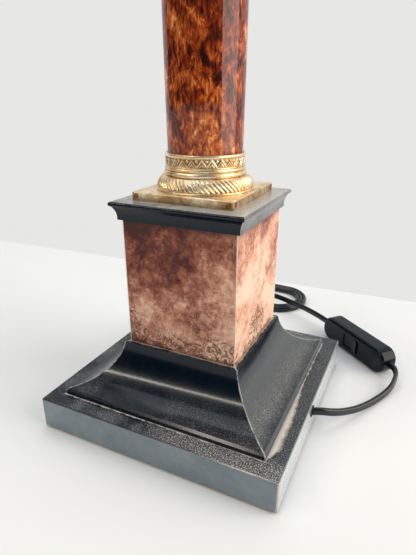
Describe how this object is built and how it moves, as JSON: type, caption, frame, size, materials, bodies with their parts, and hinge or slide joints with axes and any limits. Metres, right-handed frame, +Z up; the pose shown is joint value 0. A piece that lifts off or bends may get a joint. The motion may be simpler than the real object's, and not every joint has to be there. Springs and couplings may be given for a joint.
{
  "type": "column table lamp",
  "caption": "Classical column table lamp: stepped black base, tortoiseshell pedestal and column, brass rings, lampholder, and a flat cord with inline switch, coil and plug.",
  "frame": {"origin": "centre of the square base on the surface it stands on", "axes": "+Z up the column; the front face looks along -Y; the cord leaves the right side along +X"},
  "size_m": [0.3081, 0.3275, 0.5634],
  "materials": {
    "felt": "brown pressed felt",
    "black_lacquer": "turned and moulded wood under black lacquer, satin gloss",
    "tortoiseshell_panel": "painted reddish-brown mottle under clear lacquer",
    "tortoiseshell_column": "painted dark red-brown tortoiseshell under glossy lacquer",
    "raw_wood": "bare softwood",
    "aged_brass": "worn and tarnished polish",
    "zinc_steel": "zinc plated",
    "cast_iron": "rough cast",
    "holder_plastic": "moulded black",
    "porcelain": "white glaze",
    "contact_brass": "bright stamped",
    "cord_sheath": "black sheath, satin",
    "core_insulation": "brown core insulation",
    "soft_rubber": "black",
    "clamp_plastic": "pale moulded",
    "switch_plastic": "black, satin gloss",
    "plug_plastic": "black",
    "nickel_pins": "nickel plated"
  },
  "bodies": {
    "lamp": {"ballast_weight": "cast_iron", "base_felt": "felt", "base_plinth": "black_lacquer", "base_screws": "zinc_steel", "brass_neck": "aged_brass", "cap_moulding": "black_lacquer", "centre_contact": "contact_brass", "clamp_screws": "zinc_steel", "column_shaft": "tortoiseshell_column", "cord_clamp": "clamp_plastic", "cord_coil": "cord_sheath", "cord_coil_to_plug": "cord_sheath", "cord_grommet": "soft_rubber", "cord_lamp_to_switch": "cord_sheath", "cord_switch_to_coil": "cord_sheath", "cove_base": "black_lacquer", "foot_bead_ring": "aged_brass", "foot_plate": "aged_brass", "foot_zigzag_collar": "aged_brass", "head_bead_ring": "aged_brass", "head_echinus": "aged_brass", "head_plate": "aged_brass", "head_zigzag_collar": "aged_brass", "holder_cap": "holder_plastic", "holder_core_wires": "core_insulation", "holder_insert": "porcelain", "holder_skirt": "holder_plastic", "holder_terminals": "contact_brass", "inner_cord": "cord_sheath", "nut_bottom": "zinc_steel", "nut_top": "zinc_steel", "pedestal_back": "tortoiseshell_panel", "pedestal_front": "tortoiseshell_panel", "pedestal_glue_blocks": "raw_wood", "pedestal_left": "tortoiseshell_panel", "pedestal_right": "tortoiseshell_panel", "plug_body": "plug_plastic", "plug_pin_sleeves": "plug_plastic", "plug_pins": "nickel_pins", "rope_ring": "aged_brass", "screw_shell": "contact_brass", "shaft_plug_bottom": "raw_wood", "shaft_plug_top": "raw_wood", "switch_back_shell": "switch_plastic", "switch_case_screws": "zinc_steel", "switch_contact_bridge": "contact_brass", "switch_core_wires": "core_insulation", "switch_front_shell": "switch_plastic", "switch_terminals": "contact_brass", "threaded_tube": "zinc_steel", "washer_bottom": "zinc_steel", "washer_top": "zinc_steel"},
    "rocker": {"switch_rocker": "switch_plastic"},
    "ring": {"shade_ring": "holder_plastic"}
  },
  "joints": [
    {"name": "rocker_tilt", "type": "hinge", "parent": "lamp", "child": "rocker", "pos_m": [0.10096, 0.1153, 0.0115], "axis": [0, 0, 1], "range_deg": [0, 14]},
    {"name": "ring_lift", "type": "slide", "parent": "lamp", "child": "ring", "axis": [0, 0, 1], "range_m": [0, 0.024]}
  ]
}
